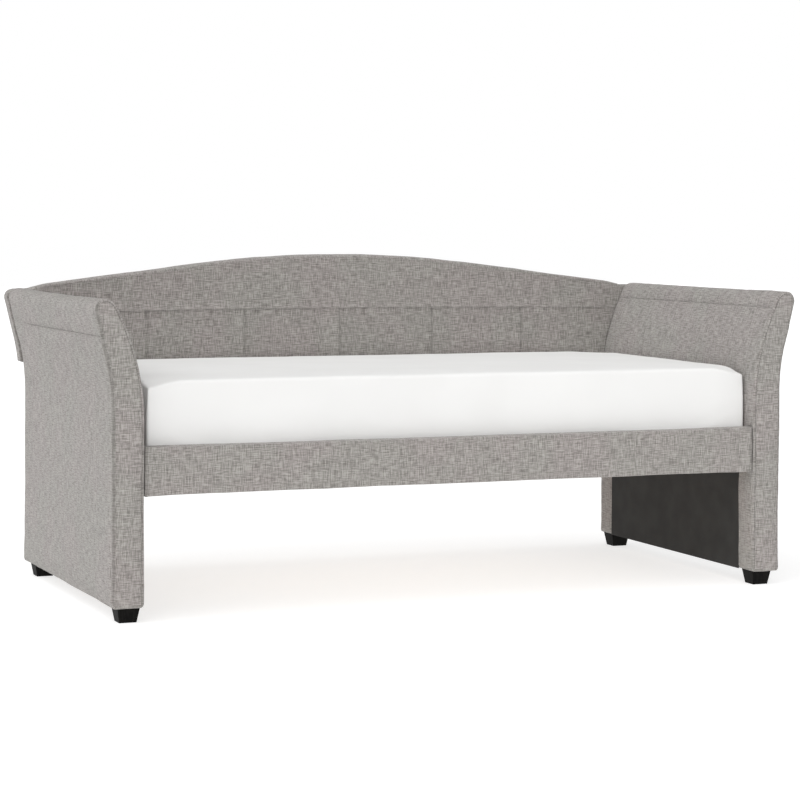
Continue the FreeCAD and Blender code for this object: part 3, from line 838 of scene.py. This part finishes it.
class BackPattern:
    """The back's outline and its rows and columns, or those of a panel `inset` within its edge."""

    def __init__(self, inset=0.0):
        low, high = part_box("back_cover")
        arm_low, arm_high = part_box("right_arm_cover")
        x_out = arm_low.x + ARM_THICKNESS
        self.base, self.level = low.z + inset, arm_high.z - inset
        self.side = BACK_SIDE - inset
        if inset:
            edge = inner_back_edge(x_out, arm_high.z, low.z, inset)
        else:
            edge = back_edge(x_out, arm_high.z, low.z)
        self.uprights = [k * BACK_PITCH for k in range(-2, 3)]
        self.columns = stations(np.linspace(-self.side, self.side, 216), self.uprights)
        straight = 900 * MM
        stretch = (edge[-1][0] - straight) / (self.side - straight)
        reach = np.abs(self.columns)
        over_x = np.where(reach > straight, straight + (reach - straight) * stretch, reach)
        over_x *= np.sign(self.columns)
        close = SEAM_STEPS / (BACK_SEAM - low.z) + 1
        self.lower = np.concatenate([np.linspace(0, 1, 42)[:-2], close[:4]])
        rise = high.z - BACK_SEAM
        self.upper = np.concatenate([SEAM_STEPS[4:], np.linspace(16 * MM, rise, 18)]) / rise
        rows = self.heights(np.array([edge[-1][0]]), np.array([self.base]), np.array([self.level]))[:, 0]
        right = np.stack([np.interp(rows, edge[:, 1], edge[:, 0]), rows], 1)
        bottom = np.stack([self.columns, np.full(len(self.columns), self.base)], 1)
        over = np.stack([over_x, crest_height(over_x, high.z, arm_high.z) - inset], 1)[::-1]
        left = right[::-1] * (-1, 1)
        over[0], over[-1] = right[-1], left[0]
        self.sides = (bottom, right, over, left)

    def heights(self, x, base, top):
        """Heights of the rows at x."""
        seam = BACK_SEAM - BACK_SEAM_DROP * np.abs(x) ** 2
        lower = base + np.outer(self.lower, seam - base)
        upper = seam + np.outer(self.upper, top - seam)
        return np.concatenate([lower, upper])

    def fill(self, bottom, right, over, left):
        """Columns straight between bottom and crest, bent only near the side edges."""
        low_x, high_x = bottom[:, 0], over[:, 0]
        rows = self.heights((low_x + high_x) / 2, bottom[:, 1], over[:, 1])
        share = (rows - bottom[None, :, 1]) / (over[None, :, 1] - bottom[None, :, 1])
        grid = np.stack([low_x[None] + (high_x - low_x)[None] * share, rows], 2)
        width = 100 * MM
        for edge, column, sign in ((right, -1, 1), (left, 0, -1)):
            gap = edge - grid[:, column]
            near = np.clip(1 - (abs(low_x[column]) - sign * low_x) / width, 0, 1)
            grid += gap[:, None] * (near * near * (3 - 2 * near))[None, :, None]
        return grid


def upright_place(p):
    """Puts an outline drawn in x and z, and run through its depth, upright."""
    return np.column_stack([p[:, 0], p[:, 2], p[:, 1]])


def back(cloth):
    """The arched back panel with its level and upright seams."""
    low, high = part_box("back_cover")
    arm_low, arm_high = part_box("right_arm_cover")
    pattern = BackPattern()
    depths = np.linspace(low.y, high.y - 1.5 * MM, 8)
    block = Block(pattern.sides, depths, upright_place, 9 * MM, pattern.fill)
    number = block.face_index(0, block.front_start)
    seam_row = len(pattern.lower) - 1
    seams = [block.points[number[seam_row, 1:-1]]]
    stitches = [block.points[number[seam_row - 2, 1:-1]]]
    for x in pattern.uprights:
        at = nearest(pattern.columns, x)
        seams.append(block.points[number[1:seam_row + 1, at]])
        stitches += [block.points[number[1:seam_row, at + step]] for step in (-2, 2)]
    # fold lines down the ears' sides beside the arms: drawn in, and painted with shade in the linen
    ring = block.ring(MID_EDGE)
    beside = (ring[:, 2] > EAR_BOTTOM - 5 * MM) & (ring[:, 2] < arm_high.z - 15 * MM)
    ears = [ring[beside & (side * ring[:, 0] > BACK_SIDE - 5 * MM)] for side in (-1, 1)]
    points, seam, fold = sew(block, seams, BACK_COVER.seam_depth, width=2.8 * MM, pucker=0.6 * MM, seed=9,
                             folds=ears)
    stitched = np.minimum(seam + 0.1 * MM, from_seams(block.points, stitches) + 0.6 * MM)
    piece = make_piece("back_upholstery", block, points, cloth, stitched, fold)
    beside_arm = (np.abs(points[:, 0]) > arm_low.x - 4 * MM) & (points[:, 2] < arm_high.z)
    rear = points[:, 1] > high.y - 14 * MM
    held = np.flatnonzero((seam < SEAM_HOLD) | beside_arm | rear | (points[:, 2] < low.z + 3 * MM))
    puff(piece, held, BACK_COVER)
    roughen(piece, BACK_COVER, 31)
    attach(piece, "daybed")
    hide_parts("back_cover", "back_padding")


def outside_back(cloth):
    """Panel of the same cloth, blind-stitched over the back's rear."""
    low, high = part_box("back_outside_panel")
    pattern = BackPattern(OUTSIDE_PANEL_INSET)
    block = Block(pattern.sides, np.array([high.y - 3 * MM, high.y + 0.2 * MM]), upright_place, 1.4 * MM,
                  pattern.fill, steps=3)
    rim = block.ring(len(block.rings) // 2)
    rim = np.concatenate([rim, rim[:1]])
    seam = from_seams(block.points, [rim])
    points = block.points.copy()
    slack = 1 - np.exp(-seam / (60 * MM))
    points[:, 1] += slack * 0.8 * MM * unevenness(points, 0.3, 71) - 0.5 * MM * np.exp(-seam / (4 * MM))
    piece = make_piece("outside_back_cloth", block, points, cloth, seam)
    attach(piece, "daybed")
    around = np.concatenate([side[:-1] for side in pattern.sides])
    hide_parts("back_outside_panel")


def rounded_sides(x0, x1, y0, y1, radius, turns, across, up):
    """A rectangle with rounded corners as four sides that meet in the middle of its corners."""
    a, b = (x0 + radius, y0 + radius), (x1 - radius, y0 + radius)
    c, d = (x1 - radius, y1 - radius), (x0 + radius, y1 - radius)
    bottom = path(arc(a, radius, 225, 270), arc(b, radius, 270, 315))
    right = path(arc(b, radius, 315, 360), arc(c, radius, 0, 45))
    over = path(arc(c, radius, 45, 90), arc(d, radius, 90, 135))
    left = path(arc(d, radius, 135, 180), arc(a, radius, 180, 225))
    curve = radius * math.pi / 4
    sides = []
    for side, count in ((bottom, across), (right, up), (over, across), (left, up)):
        total = length_along(side)[-1]
        bend = np.linspace(0, curve, turns + 1)[:-1]
        straight = np.linspace(curve, total - curve, count)
        sides.append(at_lengths(side, np.concatenate([bend, straight, total - bend[::-1]])))
    return sides


def front_rail(cloth):
    """The padded rail between the arms."""
    low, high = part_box("front_rail_cover")
    sides = rounded_sides(low.y, high.y, low.z, high.z, 6 * MM, 3, 6, 14)

    def place(p):
        return np.column_stack([p[:, 2], p[:, 0], p[:, 1]])

    block = Block(sides, np.linspace(low.x, high.x, 190), place, 5 * MM)
    block.turn_over()
    # fold lines round both ends, where the rail meets the arms: drawn in, and painted with shade in the linen
    ends = [block.ring(MID_EDGE), block.ring(len(block.rings) - 1 - MID_EDGE)]
    seams = [block.run(len(sides[0]) - 1)]
    points, seam, fold = sew(block, seams, RAIL_COVER.seam_depth, seed=5, folds=ends)
    piece = make_piece("front_rail_upholstery", block, points, cloth, seam, fold)
    rear = points[:, 1] > high.y - 3 * MM
    end = np.abs(points[:, 0]) > high.x - 2 * MM
    puff(piece, np.flatnonzero((seam < 2 * MM) | rear | end), RAIL_COVER)
    roughen(piece, RAIL_COVER, 41)
    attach(piece, "daybed")
    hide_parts("front_rail_cover", "front_rail_padding")


def mattress(material):
    """Foam mattress in a white knit cover, soft at its edges and slack over its corners."""
    low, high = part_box("mattress_cover")
    x0, x1, y0, y1 = low.x - 1 * MM, high.x + 6.5 * MM, low.y + 0.5 * MM, high.y - 2 * MM
    sides = rounded_sides(x0, x1, y0, y1, MATTRESS_UPRIGHT_CORNER, 2, 130, 66)

    def place(p):
        """Crowns the top, and lets its corners sink and draw in."""
        x, y, z = p[:, 0], p[:, 1], p[:, 2].copy()
        mid_x, mid_y = (x0 + x1) / 2, (y0 + y1) / 2
        along, across = (x - mid_x) / (x1 - mid_x), (y - mid_y) / (y1 - mid_y)
        lift = np.clip((z - low.z) / (high.z - low.z), 0, 1)
        z += lift * MATTRESS_CROWN * (1 - np.abs(along) ** 6) * (1 - np.abs(across) ** 6)
        off_x = (x1 - x0) / 2 - np.abs(x - mid_x)
        off_y = (y1 - y0) / 2 - np.abs(y - mid_y)
        corner = np.exp(-(off_x ** 2 + off_y ** 2) / MATTRESS_CORNER_REACH ** 2)
        upper = np.clip(1 - (high.z - z) / MATTRESS_CORNER_HEIGHT, 0, 1) ** 1.5
        z -= corner * upper * MATTRESS_CORNER_SINK
        draw = corner * upper * MATTRESS_CORNER_DRAW
        return np.column_stack([x - np.sign(x - mid_x) * draw, y - np.sign(y - mid_y) * draw, z])

    block = Block(sides, np.linspace(low.z, high.z, 20), place, MATTRESS_EDGE, steps=6, tight=5 * MM)
    block.turn_over()
    hem = block.ring(6)
    points, seam, _ = sew(block, [np.concatenate([hem, hem[:1]])], MATTRESS_COVER.seam_depth, seed=51)
    piece = make_piece("mattress_ticking", block, points, material, seam)
    end = np.minimum(points[:, 0] - x0, x1 - points[:, 0])
    face = np.minimum(points[:, 1] - y0, y1 - points[:, 1])
    upright = (end < 6 * MM) & (face < 6 * MM)
    lowest = points[:, 2] < low.z + MATTRESS_HELD
    puff(piece, np.flatnonzero(upright | lowest), MATTRESS_COVER, stiff=12.0)
    roughen(piece, MATTRESS_COVER, 61)
    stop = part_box("right_arm_cover")[0].x - MATTRESS_STOP
    for vertex in piece.data.vertices:
        vertex.co.x = min(max(vertex.co.x, -stop), stop)
    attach(piece, "mattress")
    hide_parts("mattress_cover", "mattress_core", "mattress_comfort_layer")


def finish_frame():
    """Finishes for the hard pieces, which keep their shapes."""
    stained = wood("black_stained_wood", (0.003, 0.0028, 0.0026), (0.0075, 0.007, 0.0063), 2, 0.5, gloss=0.08)
    slats = wood("pine_slats", (0.48, 0.30, 0.15), (0.72, 0.54, 0.34), 1, 0.6)
    ledgers = wood("pine_ledgers", (0.46, 0.29, 0.15), (0.70, 0.52, 0.33), 0, 0.6)
    boards = wood("frame_boards", (0.42, 0.27, 0.14), (0.62, 0.45, 0.28), 2, 0.65)
    zinc = metal("zinc_plate", (0.62, 0.62, 0.60), 0.35, 1.0)
    black_steel = metal("black_powder_coat", (0.02, 0.02, 0.02), 0.5, 0.0)
    strap = webbing()
    for name, node in nodes.items():
        if name.endswith("_foot"):
            material = stained
        elif name.startswith("slat_"):
            material = slats
        elif name.endswith("ledger"):
            material = ledgers
        elif name.endswith("strap"):
            material = strap
        elif name == "rail_brackets":
            material = black_steel
        elif "bolt" in name or "nuts" in name:
            material = zinc
        else:
            material = boards
        node.data.materials.clear()
        node.data.materials.append(material)


# ---------------------------------------------------------------- studio

def soft_light(name, towards, strength, spread):
    """A very large, far softbox. `towards` points from the object to the light."""
    lamp = bpy.data.lights.new(name, "SUN")
    lamp.energy = strength
    lamp.angle = math.radians(spread)
    light = bpy.data.objects.new(name, lamp)
    bpy.context.scene.collection.objects.link(light)
    light.location = towards
    light.rotation_euler = Vector(towards).to_track_quat("Z", "Y").to_euler()


def studio():
    """A pale floor that glows a little, an even white room and three soft lamps."""
    mesh = bpy.data.meshes.new("studio_floor")
    build = bmesh.new()
    bmesh.ops.create_grid(build, x_segments=8, y_segments=8, size=30)
    build.to_mesh(mesh)
    build.free()
    floor = bpy.data.objects.new("studio_floor", mesh)
    bpy.context.scene.collection.objects.link(floor)
    pale = Finish("pale_floor", FLOOR_COLOUR, 0.9, Specular_IOR_Level=0.1,
                  Emission_Color=(1.0, 1.0, 1.0, 1.0), Emission_Strength=FLOOR_GLOW)
    floor.data.materials.append(pale.material)

    world = bpy.data.worlds.new("studio")
    bpy.context.scene.world = world
    world.use_nodes = True
    tree = world.node_tree
    room = next(n for n in tree.nodes if n.type == "BACKGROUND")
    room.inputs["Color"].default_value = (1.0, 1.0, 1.0, 1.0)
    room.inputs["Strength"].default_value = ROOM_LIGHT
    backdrop = tree.nodes.new("ShaderNodeBackground")
    backdrop.inputs["Color"].default_value = (1.0, 1.0, 1.0, 1.0)
    seen = tree.nodes.new("ShaderNodeLightPath")
    mix = tree.nodes.new("ShaderNodeMixShader")
    out = next(n for n in tree.nodes if n.type == "OUTPUT_WORLD")
    tree.links.new(seen.outputs["Is Camera Ray"], mix.inputs[0])
    tree.links.new(room.outputs[0], mix.inputs[1])
    tree.links.new(backdrop.outputs[0], mix.inputs[2])
    tree.links.new(mix.outputs[0], out.inputs["Surface"])
    for lamp in LAMPS:
        soft_light(*lamp)


def camera():
    data = bpy.data.cameras.new("camera")
    data.lens = LENS
    data.sensor_width = SENSOR
    data.shift_x, data.shift_y = SHIFT
    data.clip_end = 100
    view = bpy.data.objects.new("camera", data)
    bpy.context.scene.collection.objects.link(view)
    view.location = EYE
    view.rotation_euler = (math.radians(90 + EYE_TILT), math.radians(EYE_ROLL), math.radians(EYE_TURN))
    bpy.context.scene.camera = view


camera()
studio()
bpy.context.scene.view_settings.view_transform = "Standard"
linen_cloth = linen("heathered_linen")
finish_frame()
for side in (-1, 1):
    arm(side, linen_cloth)
    dust_cover(side, nonwoven())
back(linen_cloth)
outside_back(linen_cloth)
front_rail(linen_cloth)
mattress(knit())
